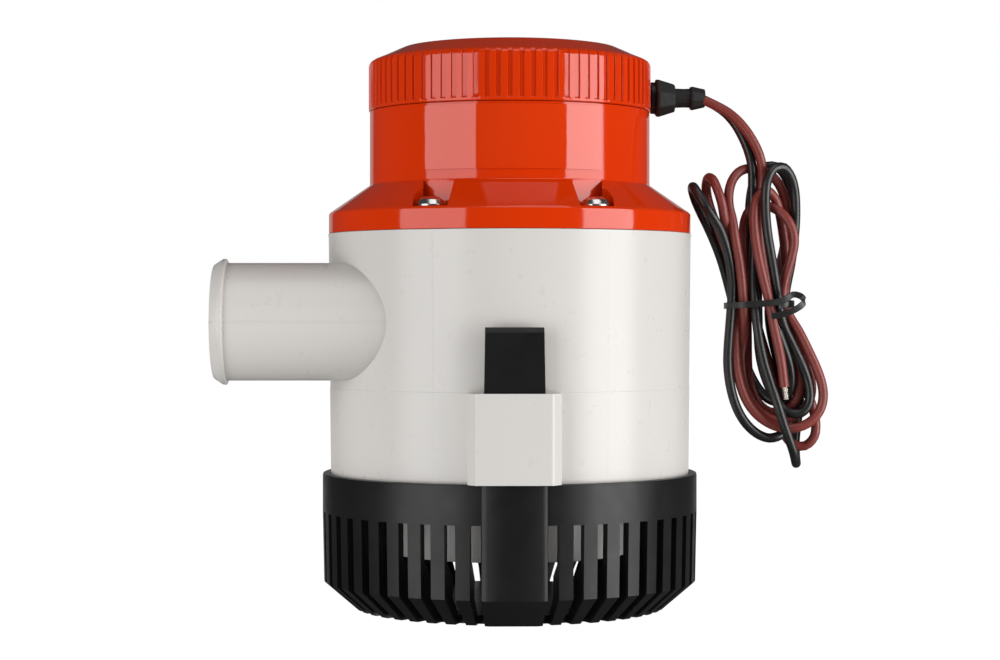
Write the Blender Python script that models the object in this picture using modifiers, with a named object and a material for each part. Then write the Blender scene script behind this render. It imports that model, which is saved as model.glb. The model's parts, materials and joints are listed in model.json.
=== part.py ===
"""Submersible bilge pump over a clip-on strainer, as separate pieces in their assembled places.

The origin is on the pump's axis at the strainer's underside. +Z is up, the outlet points to -X, the cable to +X and
the front latch to -Y.
"""

import math

import bmesh
import bpy
from mathutils import Matrix, Vector

MM = 0.001
GAP = 0.3  # between pieces that touch

# Driving dimensions, in millimetres
STRAINER_R = 65.7
STRAINER_H = 47.2
STRAINER_WALL = 2.6
RIB_FACE_R = 57.0  # the ribs between the slots reach in to here below the inlet skirt
RIB_DEEP_TOP = 16.5
STRAINER_FLOOR = 2.8
CHAMFER_H = 9.5
CHAMFER_FOOT_R = 54.2
SHELF_TOP = 43.7
SLOT_TOP = 33.9
SLOT_W = 3.8
SLOT_PITCH = 7.5  # degrees
FIRST_SLOT = 11.25  # degrees from the middle of a latch panel
SLOTS_A_QUARTER = 11
PANEL_W = 21.3
PANEL_Y = 67.0

BODY_R_LOW = 62.7
BODY_R_TOP = 63.6
BODY_WALL = 2.7
BODY_BOTTOM = SHELF_TOP + GAP
BODY_TOP = 130.3
DECK = (76.4, 79.4)
BOSS_FACE_W = 24.9
BOSS_W = 30.4
BOSS_Y = 69.0
BOSS_TOP = 76.9
POCKET_W = 20.5
POCKET_Y = (63.3, 67.2)
ARM_W = 19.5
ARM_Y = (65.4, 66.9)
TAB_W = 19.9
TAB_Y = 68.3
TAB_TOP = 98.5

SPIGOT_Y = -27.2
SPIGOT_Z = 100.0
SPIGOT_R = 20.0
SPIGOT_BORE = 17.0
SPIGOT_END = 101.0
BEAD_R = 21.5
BEAD_X = 96.8

CHAMBER_TOP = 120.7
SPIRAL_SMALL = 37.5
SPIRAL_LARGE = 44.6
SPIRAL_WALL = 3.0
SKIRT_R = 42.4
SKIRT_BOTTOM = 19.8
SKIRT_WALL = 2.6
EYE_R = 24.0

LIP_R = 63.7
LIP_BOTTOM = BODY_TOP + GAP
LIP_TOP = 138.0
FLANGE_BORE = 51.5
CONE_R = 62.8
CONE_TOP = 147.6
HOUSING_R = 49.2
HOUSING_TOP = 173.4
HOUSING_WALL = 2.6
NECK_TOP = 177.4
CAP_BOTTOM = HOUSING_TOP + GAP
CAP_R = 49.6
CAP_BAND_TOP = 190.3
CAP_TOP = 196.5
CAP_FLAT_R = 38.4
CAP_DOME = 0.7  # from the edge of the cap's flat to its middle
CAP_WALL = 2.6
SCREW_CIRCLE = 56.4
SCREW_ANGLES = (-118.8, -61.2, 61.2, 118.8)
SCREW_HOLE_R = 2.4
SCREW_POCKET_SPAN = 14.6  # degrees

PLATE_Z = (121.0, 124.5)
CAN_R = 40.0
CAN_Z = (124.8, 176.0)
CAN_WALL = 1.6
MAGNET_R = (32.5, 38.1)
MAGNET_Z = (131.0, 172.0)
CORE_R = 31.8
CORE_Z = (142.0, 168.0)
POLES = 12
SHAFT_R = 4.0
SHAFT_Z = (86.0, 190.0)
IMPELLER_R = 34.0
IMPELLER_Z = (84.5, 114.5)

CABLE_Z = 178.8
WIRE_D = 3.4
HANK_HALF_DEPTH = 8.5

# Each lead's free stretch from the end sleeve to the top of the hank: x and z, then how far it lies from y = 0
LEAD_ROUTE = (
    (69.4, 178.3),
    (74.8, 177.0),
    (80.5, 173.5),
    (85.4, 167.8),
    (88.9, 160.8),
    (90.2, 156.2),
)
LEAD_OFFSET = {"red": (-1.75, 0.5), "black": (1.75, -0.5)}

WAIST = (77.6, 98.6)  # where the tie goes round the hank
HANK_OUTLINE = (
    (86, 57), (80.3, 65), (77, 73.7), (75.8, 83), (76.6, 95), (WAIST[0], 102), (WAIST[0], 107.4),
    (77, 112), (73.7, 125.6), (69, 136.8), (64.6, 146.5), (65.6, 150.5), (74, 153.4), (82, 154.8),
    (88, 155.6), (93, 155.3), (98.4, 152.6), (101.2, 146), (101.4, 127.5), (WAIST[1], 108.5),
    (WAIST[1], 102), (105.3, 90.4), (110, 81), (111.9, 72.8), (111.2, 66.5), (107, 57), (101.5, 51),
    (97, 50.4),
)
TIE_Z = 104.6


def start_scene():
    for old in list(bpy.data.objects):
        bpy.data.objects.remove(old, do_unlink=True)
    made = []
    for name in ("bilge_pump", "cutters"):
        collection = bpy.data.collections.new(name)
        bpy.context.scene.collection.children.link(collection)
        made.append(collection)
    return made


PARTS, CUTTERS = start_scene()


def material(name, colour, roughness, metallic=0.0):
    made = bpy.data.materials.new(name)
    made.use_nodes = True
    shader = made.node_tree.nodes["Principled BSDF"]
    shader.inputs["Base Color"].default_value = (*colour, 1.0)
    shader.inputs["Roughness"].default_value = roughness
    shader.inputs["Metallic"].default_value = metallic
    return made


BLACK = material("black_plastic", (0.012, 0.012, 0.013), 0.45)
WHITE = material("white_plastic", (0.72, 0.70, 0.66), 0.25)
ORANGE = material("orange_plastic", (0.75, 0.06, 0.012), 0.2)
RUBBER = material("black_rubber", (0.02, 0.02, 0.02), 0.7)
STAINLESS = material("stainless_steel", (0.6, 0.6, 0.6), 0.3, 1.0)
ZINC = material("plated_steel", (0.5, 0.5, 0.48), 0.4, 1.0)
LAMINATION = material("lamination_steel", (0.25, 0.25, 0.27), 0.5, 1.0)
FERRITE = material("ferrite", (0.05, 0.05, 0.055), 0.6)
COPPER = material("copper", (0.7, 0.25, 0.12), 0.35, 1.0)
BRASS = material("brass", (0.65, 0.45, 0.15), 0.35, 1.0)
BRONZE = material("sintered_bronze", (0.45, 0.25, 0.1), 0.55, 1.0)
CARBON = material("carbon", (0.03, 0.03, 0.03), 0.8)
TINNED = material("tinned_copper", (0.7, 0.7, 0.68), 0.35, 1.0)
RED_PVC = material("red_pvc", (0.2, 0.03, 0.022), 0.4)
BLACK_PVC = material("black_pvc", (0.015, 0.015, 0.015), 0.4)
FILM = material("clear_film", (0.75, 0.08, 0.03), 0.1)


def place(name, data, finish, collection=PARTS):
    made = bpy.data.objects.new(name, data)
    if finish:
        data.materials.append(finish)
    collection.objects.link(made)
    if collection is CUTTERS:
        made.hide_render = True
        made.display_type = "WIRE"
    return made


def turned(name, profile, finish, segments=64, collection=PARTS):
    """A closed profile of (radius, height) in mm, whose outer side runs down, turned about local Z."""
    mesh = bpy.data.meshes.new(name)
    starts = [n for n, (r, _) in enumerate(profile) if r == 0 and profile[n - 1][0] == 0]
    order = list(range(len(profile)))
    if starts:
        order = order[starts[0]:] + order[:starts[0]]
    edges = list(zip(order, order[1:]))
    if not starts:
        edges.append((order[-1], order[0]))
    mesh.from_pydata([(r * MM, 0, z * MM) for r, z in profile], edges, [])
    made = place(name, mesh, finish, collection)
    screw = made.modifiers.new("turn", "SCREW")
    screw.steps = screw.render_steps = segments
    screw.use_merge_vertices = True
    screw.merge_threshold = 1e-5
    screw.use_smooth_shade = False
    return made


def prism(name, outline, low, high, finish, collection=PARTS):
    """A flat outline of (x, y) in mm, extruded from z = low to z = high, as a mesh."""
    curve = bpy.data.curves.new(name, "CURVE")
    curve.dimensions = "2D"
    curve.fill_mode = "BOTH"
    curve.extrude = (high - low) / 2 * MM
    spline = curve.splines.new("POLY")
    spline.points.add(len(outline) - 1)
    for point, (x, y) in zip(spline.points, outline):
        point.co = (x * MM, y * MM, 0, 1)
    spline.use_cyclic_u = True
    guide = bpy.data.objects.new(name + "_guide", curve)
    guide.location.z = (low + high) / 2 * MM
    return meshed(name, guide, finish, collection)


def meshed(name, guide, finish, collection=PARTS):
    """The mesh of a curve object, its caps welded on, as a new object in the same place."""
    CUTTERS.objects.link(guide)
    bpy.context.view_layer.update()
    mesh = bpy.data.meshes.new_from_object(guide.evaluated_get(bpy.context.evaluated_depsgraph_get()))
    work = bmesh.new()
    work.from_mesh(mesh)
    bmesh.ops.remove_doubles(work, verts=work.verts, dist=1e-6)
    bmesh.ops.recalc_face_normals(work, faces=work.faces)
    work.to_mesh(mesh)
    work.free()
    made = place(name, mesh, finish, collection)
    made.matrix_world = guide.matrix_world
    bpy.data.objects.remove(guide, do_unlink=True)
    return made


def tube(name, points, radius, finish, cyclic=False, sides=2):
    """A round tube along points in mm."""
    curve = bpy.data.curves.new(name, "CURVE")
    curve.dimensions = "3D"
    curve.bevel_depth = radius * MM
    curve.bevel_resolution = sides
    curve.use_fill_caps = not cyclic
    spline = curve.splines.new("POLY")
    spline.points.add(len(points) - 1)
    for point, at in zip(spline.points, points):
        point.co = (*(Vector(at) * MM), 1)
    spline.use_cyclic_u = cyclic
    return place(name, curve, finish)


def block(name, low, high, finish=None, collection=CUTTERS):
    """A box between two corners in mm."""
    mesh = bpy.data.meshes.new(name)
    work = bmesh.new()
    middle = (Vector(low) + Vector(high)) / 2 * MM
    size = (Vector(high) - Vector(low)) * MM
    bmesh.ops.create_cube(work, size=1.0, matrix=Matrix.Translation(middle) @ Matrix.Diagonal((*size, 1)))
    work.to_mesh(mesh)
    work.free()
    return place(name, mesh, finish, collection)


def rod(name, radius, low, high, segments=24):
    """A cutting cylinder along local Z."""
    return turned(name, [(0, high), (radius, high), (radius, low), (0, low)], None, segments, CUTTERS)


def along_x(made, y=0.0, z=0.0):
    """Turns a piece made along local Z so that its length runs along +X."""
    made.matrix_world = Matrix.Translation((0, y * MM, z * MM)) @ Matrix.Rotation(math.pi / 2, 4, "Y")
    return made


def turn_about_z(made, degrees):
    made.matrix_world = Matrix.Rotation(math.radians(degrees), 4, "Z") @ made.matrix_world
    return made


def boolean(target, other, operation):
    step = target.modifiers.new(other.name, "BOOLEAN")
    step.operation = operation
    step.object = other
    return target


def cut(target, other):
    return boolean(target, other, "DIFFERENCE")


def join(target, other):
    return boolean(target, other, "UNION")


def merged(name, pieces):
    """One cutter from several that don't meet."""
    work = bmesh.new()
    for piece in pieces:
        copy = piece.data.copy()
        copy.transform(piece.matrix_world)
        work.from_mesh(copy)
        bpy.data.meshes.remove(copy)
        bpy.data.objects.remove(piece, do_unlink=True)
    mesh = bpy.data.meshes.new(name)
    work.to_mesh(mesh)
    work.free()
    return place(name, mesh, None, CUTTERS)


def polar(radius, degrees, middle=(0.0, 0.0)):
    turn = math.radians(degrees)
    return middle[0] + radius * math.cos(turn), middle[1] + radius * math.sin(turn)


def arc(radius, start, end, steps, middle=(0.0, 0.0)):
    """Points on an arc, with angles in degrees."""
    return [polar(radius, start + (end - start) * n / steps, middle) for n in range(steps + 1)]


def sector(inner, outer, start, end, steps):
    return arc(outer, start, end, steps) + arc(inner, end, start, steps)


def smooth_route(points, step):
    """Points about step apart on a Catmull-Rom curve through the given ones."""
    ends = [Vector(p) for p in points]
    padded = [2 * ends[0] - ends[1], *ends, 2 * ends[-1] - ends[-2]]
    found = []
    for a, b, c, d in zip(padded, padded[1:], padded[2:], padded[3:]):
        count = max(1, round((c - b).length / step))
        for n in range(count):
            t = n / count
            found.append(
                0.5 * (2 * b + (c - a) * t + (2 * a - 5 * b + 4 * c - d) * t**2
                       + (3 * b - a - 3 * c + d) * t**3)
            )
    return found + [ends[-1]]


def strainer_basket():
    inner = STRAINER_R - STRAINER_WALL
    basket = turned(
        "strainer_basket",
        [
            (STRAINER_R, STRAINER_H), (STRAINER_R, SLOT_TOP), (STRAINER_R - 0.5, CHAMFER_H),
            (CHAMFER_FOOT_R, 0), (0, 0), (0, STRAINER_FLOOR), (RIB_FACE_R - 6.0, STRAINER_FLOOR),
            (RIB_FACE_R, CHAMFER_H), (RIB_FACE_R, RIB_DEEP_TOP), (inner - 0.6, RIB_DEEP_TOP + 4.5),
            (inner - 0.4, SHELF_TOP - 2.8), (57.0, SHELF_TOP - 2.8), (57.0, SHELF_TOP), (inner, SHELF_TOP),
            (inner, STRAINER_H),
        ],
        BLACK,
        48,
    )
    foot = PANEL_Y - (STRAINER_R - CHAMFER_FOOT_R)
    for side, turn in (("front", 0), ("back", 180)):
        outline = [
            (-PANEL_Y, STRAINER_H - 0.2), (-PANEL_Y, CHAMFER_H), (-foot, 0.0), (-foot + 4, 0.0),
            (-PANEL_Y + 5.2, CHAMFER_H + 2), (-PANEL_Y + 3.4, STRAINER_H - 0.2),
        ]
        panel = prism(f"{side}_panel", outline, -PANEL_W / 2, PANEL_W / 2, None, CUTTERS)
        # the outline's x is this piece's y and its y is height
        panel.matrix_world = Matrix(((0, 0, 1, 0), (1, 0, 0, 0), (0, 1, 0, 0), (0, 0, 0, 1)))
        turn_about_z(panel, turn)
        join(basket, panel)
    slots = []
    for middle in (-90.0, 90.0):
        for side in (-1, 1):
            for n in range(SLOTS_A_QUARTER):
                slot = block("slot", (50.0, -SLOT_W / 2, -1.0), (70.0, SLOT_W / 2, SLOT_TOP))
                slots.append(turn_about_z(slot, middle + side * (FIRST_SLOT + n * SLOT_PITCH)))
    cut(basket, merged("slots", slots))
    holes = []
    for angle in (45.0, 135.0, 225.0, 315.0):
        hole = rod("fixing_hole", 2.6, -1.0, STRAINER_FLOOR + 1)
        hole.location = (40 * MM * math.cos(math.radians(angle)), 40 * MM * math.sin(math.radians(angle)), 0)
        bpy.context.view_layer.update()
        holes.append(hole)
    for hole in holes:
        cut(basket, hole)


def latch_arm(side, turn):
    """A springy arm whose tab stands over the edge of the body's latch boss. Its origin is on its bending line."""
    pivot_y = -sum(ARM_Y) / 2
    pivot_z = STRAINER_H + 0.2
    back, front, tab = -ARM_Y[0], -ARM_Y[1], -TAB_Y
    step = BOSS_TOP + GAP
    outline = [
        (back, STRAINER_H + 0.4), (back, TAB_TOP - 0.8), (back - 0.8, TAB_TOP), (tab + 0.9, TAB_TOP),
        (tab, TAB_TOP - 0.9), (tab, step), (front, step), (front, STRAINER_H + 0.4),
    ]
    local = [(y - pivot_y, z - pivot_z) for y, z in outline]
    arm = prism(f"latch_arm_{side}", local, -ARM_W / 2, ARM_W / 2, BLACK)
    frame = Matrix(((0, 0, 1, 0), (1, 0, 0, pivot_y * MM), (0, 1, 0, pivot_z * MM), (0, 0, 0, 1)))
    arm.matrix_world = Matrix.Rotation(math.radians(turn), 4, "Z") @ frame


def spiral(extra):
    """The volute's outline: it widens clockwise, seen from above, from the cutwater to the outlet at -Y."""
    points = []
    for n in range(72):
        angle = -90 - n * 5
        swept = (-150 - angle) % 360
        share = swept / 300 if swept <= 300 else 1 - (swept - 300) / 60
        radius = SPIRAL_SMALL + (SPIRAL_LARGE - SPIRAL_SMALL) * share + extra
        points.append((radius * math.cos(math.radians(angle)), radius * math.sin(math.radians(angle))))
    return points


def pump_body():
    """The outer shell with its floor, top flange and latch bosses."""
    shell_in = BODY_R_LOW - BODY_WALL
    body = turned(
        "pump_body",
        [
            (BODY_R_TOP, BODY_TOP), (BODY_R_LOW, BODY_BOTTOM), (shell_in, BODY_BOTTOM),
            (shell_in + 0.4, DECK[0]), (0, DECK[0]), (0, DECK[1]), (shell_in + 0.4, DECK[1]),
            (BODY_R_TOP - BODY_WALL, 125.0), (FLANGE_BORE, 125.0), (FLANGE_BORE, BODY_TOP),
        ],
        WHITE,
        48,
    )
    half, face = BOSS_W / 2, BOSS_FACE_W / 2
    outline = [
        (-face, -BOSS_Y), (face, -BOSS_Y), (half, -BOSS_Y + 4), (half, -59.6), (0, -61.4),
        (-half, -59.6), (-half, -BOSS_Y + 4),
    ]
    for side, turn in (("front", 0), ("back", 180)):
        boss = prism(f"{side}_boss", outline, STRAINER_H + GAP, BOSS_TOP, None, CUTTERS)
        join(body, turn_about_z(boss, turn))
    for side, turn in (("front", 0), ("back", 180)):
        pocket = block(
            f"{side}_pocket",
            (-POCKET_W / 2, -POCKET_Y[1], STRAINER_H - 1),
            (POCKET_W / 2, -POCKET_Y[0], BOSS_TOP + 1),
        )
        cut(body, turn_about_z(pocket, turn))
    cut(body, rod("eye_hole", EYE_R + 2.8, DECK[0] - 1, DECK[1] + 1, 40))
    cut(body, along_x(rod("spigot_hole", SPIGOT_R + GAP, -70.0, -30.0, 40), SPIGOT_Y, SPIGOT_Z))
    for hole in screw_holes("pilot", 120.0, BODY_TOP + 1):
        cut(body, hole)


def volute_casing():
    """The spiral wall round the impeller, whose outlet is the hose spigot."""
    floor = DECK[1] + GAP
    casing = prism("volute_casing", spiral(SPIRAL_WALL), floor, CHAMBER_TOP, WHITE)
    spigot = turned(
        "spigot",
        [
            (0, -12.0), (SPIGOT_R, -12.0), (SPIGOT_R, -BEAD_X + 0.2), (BEAD_R, -BEAD_X),
            (SPIGOT_R - 1, -SPIGOT_END), (0, -SPIGOT_END),
        ],
        None,
        40,
        CUTTERS,
    )
    join(casing, along_x(spigot, SPIGOT_Y, SPIGOT_Z))
    cut(casing, prism("chamber", spiral(0), floor - 2, CHAMBER_TOP + 1, None, CUTTERS))
    cut(casing, along_x(rod("outlet_bore", SPIGOT_BORE, -SPIGOT_END - 1, -10.0, 36), SPIGOT_Y, SPIGOT_Z))
    for step in casing.modifiers:
        step.solver = "MANIFOLD"  # the exact one leaves slivers where the bore meets the spiral


def screw_places():
    for angle in SCREW_ANGLES:
        turn = math.radians(angle)
        yield SCREW_CIRCLE * math.cos(turn), SCREW_CIRCLE * math.sin(turn)


def screw_holes(name, low, high):
    for n, (x, y) in enumerate(screw_places(), 1):
        hole = rod(f"{name}_hole_{n}", SCREW_HOLE_R, low, high, 12)
        hole.location = (x * MM, y * MM, 0)
        yield hole


def inlet_skirt():
    turned(
        "inlet_skirt",
        [
            (EYE_R + 2.2, 83.0), (EYE_R + 2.2, DECK[0] - GAP), (46.0, DECK[0] - GAP), (46.0, 73.9),
            (SKIRT_R, 73.9), (SKIRT_R, SKIRT_BOTTOM), (SKIRT_R - SKIRT_WALL, SKIRT_BOTTOM),
            (SKIRT_R - SKIRT_WALL, 73.9), (EYE_R, 73.9), (EYE_R, 83.0),
        ],
        WHITE,
        40,
    )


def motor_housing():
    inner = HOUSING_R - HOUSING_WALL
    neck = inner - HOUSING_WALL
    housing = turned(
        "motor_housing",
        [
            (inner, NECK_TOP), (inner, HOUSING_TOP - 1.8), (inner + 1.8, HOUSING_TOP - 1.8),
            (inner + 1.8, HOUSING_TOP), (HOUSING_R, HOUSING_TOP), (HOUSING_R, CONE_TOP),
            (CONE_R, LIP_TOP), (LIP_R, LIP_TOP), (LIP_R, LIP_BOTTOM), (FLANGE_BORE - GAP, LIP_BOTTOM),
            (FLANGE_BORE - GAP, 129.0), (49.0, 129.0), (49.0, 126.6), (FLANGE_BORE - GAP, 126.6),
            (FLANGE_BORE - GAP, PLATE_Z[1] + GAP), (neck, PLATE_Z[1] + GAP), (neck, 135.0), (inner, 138.0),
            (inner, 165.0), (neck, 168.0), (neck, NECK_TOP),
        ],
        ORANGE,
        48,
    )
    for n, angle in enumerate(SCREW_ANGLES, 1):
        sides = angle - SCREW_POCKET_SPAN / 2, angle + SCREW_POCKET_SPAN / 2
        cut(housing, prism(f"screw_pocket_{n}", sector(50.4, 66.0, *sides, 3), LIP_TOP, 150.0, None, CUTTERS))
    for hole in screw_holes("flange", LIP_BOTTOM - 1, LIP_TOP + 1):
        cut(housing, hole)
    cut(housing, along_x(rod("neck_notch", 4.3, 40.0, 52.0), 0, CABLE_Z))


def motor_cap():
    shoulder = arc(2.0, 0, 68, 3, (CAP_R - 2.0, CAP_BAND_TOP - 0.7))[::-1]
    inner = CAP_R - CAP_WALL
    cap = turned(
        "motor_cap",
        [
            (0, CAP_TOP), (CAP_FLAT_R, CAP_TOP - CAP_DOME), *shoulder, (CAP_R, CAP_BOTTOM), (inner, CAP_BOTTOM),
            (inner, CAP_BAND_TOP - 2.0), (CAP_FLAT_R - 1, CAP_TOP - CAP_DOME - CAP_WALL), (0, CAP_TOP - CAP_WALL),
        ],
        ORANGE,
        48,
    )
    cut(cap, along_x(rod("cable_hole", 4.0, 42.0, 52.0), 0, CABLE_Z))


def seal_ring(name, centre_r, half_r, z):
    turned(name, arc(half_r, 180, -180, 6, (centre_r, z))[:-1], RUBBER, 48)


def housing_screws():
    for n, (x, y) in enumerate(screw_places(), 1):
        screw = turned(
            f"housing_screw_{n}",
            [
                (0, 3.6), (2.6, 3.2), (4.1, 2.2), (4.65, 0.8), (4.65, 0.0), (2.0, 0.0), (2.0, -12.0),
                (0, -13.0),
            ],
            STAINLESS,
            16,
        )
        recess = block(f"screw_slot_{n}", (-2.3, -0.45, 1.8), (2.3, 0.45, 5))
        screw.location = recess.location = (x * MM, y * MM, (LIP_TOP + GAP) * MM)
        cut(screw, recess)


def mount_plate():
    turned(
        "motor_mount_plate",
        [
            (12.0, 138.0), (12.0, PLATE_Z[1]), (51.0, PLATE_Z[1]), (51.0, PLATE_Z[0]), (36.8, PLATE_Z[0]),
            (36.8, 118.0), (9.4, 118.0), (9.4, 125.5), (6.0, 125.5), (6.0, 127.7), (8.3, 127.7),
            (8.3, 138.0),
        ],
        BLACK,
        32,
    )


def ring(name, inner, outer, low, high, finish, segments=24, moving=False):
    made = turned(name, [(outer, high), (outer, low), (inner, low), (inner, high)], finish, segments)
    if moving:
        made.parent = ROTOR_AXIS
    return made


def motor_fixed():
    ring("shaft_seal", SHAFT_R + GAP, 9.1, 118.3, 125.2, RUBBER)
    ring("lower_bearing", SHAFT_R + GAP, 8.0, 128.0, 137.0, BRONZE)
    ring("upper_bearing", SHAFT_R + GAP, 8.0, 183.4, 189.6, BRONZE)
    turned(
        "motor_can",
        [
            (CAN_R, CAN_Z[1]), (CAN_R, CAN_Z[0]), (12.4, CAN_Z[0]), (12.4, CAN_Z[0] + CAN_WALL),
            (CAN_R - CAN_WALL, CAN_Z[0] + CAN_WALL), (CAN_R - CAN_WALL, CAN_Z[1]),
        ],
        ZINC,
        40,
    )
    for name, middle in (("magnet_left", 180.0), ("magnet_right", 0.0)):
        prism(name, sector(*MAGNET_R, middle - 68, middle + 68, 14), *MAGNET_Z, FERRITE)
    bell = turned(
        "end_bell",
        [
            (CAN_R, 187.5), (CAN_R, CAN_Z[1] + GAP), (CAN_R - 2, CAN_Z[1] + GAP), (CAN_R - 2, 184.6),
            (8.3, 184.6), (8.3, 187.5),
        ],
        BLACK,
        40,
    )
    cut(bell, along_x(rod("lead_opening", 4.6, 34.0, 44.0), 0, CABLE_Z))


def brushes():
    """Two brushes at +Y and -Y that press on the commutator, each in a holder with a leaf spring behind it."""
    for side, way in (("front", -1), ("back", 1)):
        low_z, high_z = 173.6, 181.6
        brush = block(f"brush_{side}", (-3, 10.6, low_z), (3, 21.0, high_z), CARBON, PARTS)
        holder = block(f"brush_holder_{side}", (-4.3, 12.5, low_z - 1.3), (4.3, 25.0, high_z + 1.3), BRASS, PARTS)
        way_through = block(f"brush_way_{side}", (-3.3, 10.0, low_z - GAP), (3.3, 26.0, high_z + GAP))
        spring = prism(
            f"brush_spring_{side}",
            [(-2.6, 21.4), (0.0, 23.6), (2.6, 21.4), (2.9, 21.7), (0.0, 24.2), (-2.9, 21.7)],
            low_z + 1.5,
            high_z - 1.5,
            STAINLESS,
        )
        cut(holder, way_through)
        for made in (brush, holder, way_through, spring):
            if way < 0:
                turn_about_z(made, 180)


def inner_leads():
    for colour, finish, way in (("red", RED_PVC, -1), ("black", BLACK_PVC, 1)):
        route = [
            (43.6, 1.9, CABLE_Z), (38.0, 2.4, CABLE_Z + 0.8), (30.0, 7.0, CABLE_Z + 0.8), (20.0, 16.0, CABLE_Z),
            (12.0, 21.6, CABLE_Z - 1), (6.4, 23.4, CABLE_Z - 1),
        ]
        tube(
            f"inner_lead_{colour}",
            smooth_route([(x, y * way, z) for x, y, z in route], 6.0),
            1.5,
            finish,
        )


def rotor():
    shaft = turned(
        "motor_shaft",
        [(0, SHAFT_Z[1]), (SHAFT_R, SHAFT_Z[1] - 0.5), (SHAFT_R, SHAFT_Z[0]), (2.5, SHAFT_Z[0]), (2.5, 80.9), (0, 80.5)],
        STAINLESS,
        20,
    )
    shaft.parent = ROTOR_AXIS
    poles = []
    for n in range(POLES):
        middle = n * 360 / POLES
        poles += arc(CORE_R, middle - 12.6, middle + 12.6, 3)
        poles += [polar(CORE_R - 2.6, middle + 12.2), polar(19.0, middle + 9.0)]
        poles += [polar(19.0, middle + 21.0), polar(CORE_R - 2.6, middle + 17.8)]
    core = prism("armature_core", poles, *CORE_Z, LAMINATION)
    bore = rod("core_bore", SHAFT_R + GAP, CORE_Z[0] - 1, CORE_Z[1] + 1, 20)
    cut(core, bore)
    core.parent = bore.parent = ROTOR_AXIS
    for name, low, high in (("winding_lower", 138.6, CORE_Z[0] - GAP), ("winding_upper", CORE_Z[1] + GAP, 171.6)):
        winding = turned(
            name,
            [(24.0, high), (27.5, (low + high) / 2), (24.0, low), (12.0, low), (10.8, (low + high) / 2), (12.0, high)],
            COPPER,
            28,
        )
        winding.parent = ROTOR_AXIS
    ring("commutator", SHAFT_R + GAP, 10.0, 172.2, 182.6, COPPER, 24, True)


def impeller():
    low, high = IMPELLER_Z
    wheel = turned(
        "impeller",
        [
            (IMPELLER_R, high), (IMPELLER_R, high - 2.5), (12.0, high - 2.8), (8.6, high - 12), (8.0, 86.3),
            (4.3, 86.3), (4.3, high),
        ],
        BLACK,
        32,
    )
    wheel.parent = ROTOR_AXIS
    for n in range(5):
        inner, outer = [], []
        for step in range(9):
            t = step / 8
            radius = 8.0 + (IMPELLER_R - 0.4 - 8.0) * t
            angle = math.radians(n * 72 + 62 * t**0.8)
            half = 1.1 / radius
            inner.append((radius * math.cos(angle - half), radius * math.sin(angle - half)))
            outer.append((radius * math.cos(angle + half), radius * math.sin(angle + half)))
        vane = prism(f"vane_{n + 1}", inner + outer[::-1], low + 2.5, high - 1.2, None, CUTTERS)
        vane.parent = ROTOR_AXIS
        join(wheel, vane)
    nut = turned("impeller_nut", [(6.4, 86.0), (6.4, 81.6), (3.3, 81.6), (3.3, 86.0)], STAINLESS, 6)
    nut.parent = ROTOR_AXIS


def cable_gland():
    for name, profile, finish in (
        ("gland_bushing", [(0, 51.0), (5.5, 51.0), (5.5, 49.95), (3.7, 49.95), (3.7, 44.0), (0, 44.0)], BLACK),
        ("gland_nut", [(0, 58.2), (4.25, 58.2), (6.2, 52.6), (6.65, 51.3), (0, 51.3)], BLACK),
        ("gland_boot", [(0, 63.9), (3.45, 63.9), (3.45, 58.5), (0, 58.5)], RUBBER),
        ("lead_sleeve", [(0, 69.0), (2.9, 69.0), (4.3, 64.2), (0, 64.2)], RUBBER),
    ):
        along_x(turned(name, profile, finish, 20), 0, CABLE_Z)


def leads():
    for colour, finish in (("red", RED_PVC), ("black", BLACK_PVC)):
        y, lift = LEAD_OFFSET[colour]
        route = [(x, y, z + lift * (1 - n / (len(LEAD_ROUTE) - 1))) for n, (x, z) in enumerate(LEAD_ROUTE)]
        tube(f"lead_{colour}", smooth_route(route, 7.0), WIRE_D / 2, finish)
    hank = prism("lead_hank", HANK_OUTLINE, -HANK_HALF_DEPTH, HANK_HALF_DEPTH, BLACK_PVC)
    hank.matrix_world = Matrix(((1, 0, 0, 0), (0, 0, -1, 0), (0, 1, 0, 0), (0, 0, 0, 1)))
    left, right = WAIST[0] - GAP - 1.2, WAIST[1] + GAP + 1.2
    side = HANK_HALF_DEPTH + GAP + 1.2
    corner = 0.9
    loop = [
        (left, -side + corner), (left + corner, -side), (right - corner, -side), (right, -side + corner),
        (right, side - corner), (right - corner, side), (left + corner, side), (left, side - corner),
    ]
    tube("hank_tie", [(x, y, TIE_Z) for x, y in loop], 1.2, BLACK_PVC, True, 1)
    for colour, x, z in (("red", 97.4, 73.4), ("black", 94.6, 94.0)):
        end = turned(f"wire_end_{colour}", [(0, 4.5), (1.1, 4.5), (1.1, -4.5), (0, -4.5)], TINNED, 10)
        end.location = (x * MM, -(HANK_HALF_DEPTH + 2.0) * MM, z * MM)


def rating_film():
    prism("rating_film", sector(49.5, 49.75, -90 - 37, -90 + 37, 16), 151.0, 172.5, FILM)


ROTOR_AXIS = bpy.data.objects.new("rotor_axis", None)
PARTS.objects.link(ROTOR_AXIS)

strainer_basket()
latch_arm("front", 0)
latch_arm("back", 180)
pump_body()
volute_casing()
inlet_skirt()
mount_plate()
motor_housing()
seal_ring("housing_seal", 50.25, 0.95, 127.8)
housing_screws()
motor_cap()
seal_ring("cap_seal", HOUSING_R - HOUSING_WALL + 0.9, 0.6, HOUSING_TOP - 0.75)
motor_fixed()
brushes()
inner_leads()
rotor()
impeller()
rating_film()
cable_gland()
leads()
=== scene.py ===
"""Looks for the bilge pump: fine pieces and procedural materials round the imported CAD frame.

Lengths are in millimetres until they reach a mesh, and angles in degrees. The pump's axis is Z, the front is -Y, the
outlet points to -X and the cable leaves to +X.
"""

import json
import math

import bmesh
import bpy
import numpy as np
from mathutils import Matrix, Vector


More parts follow.
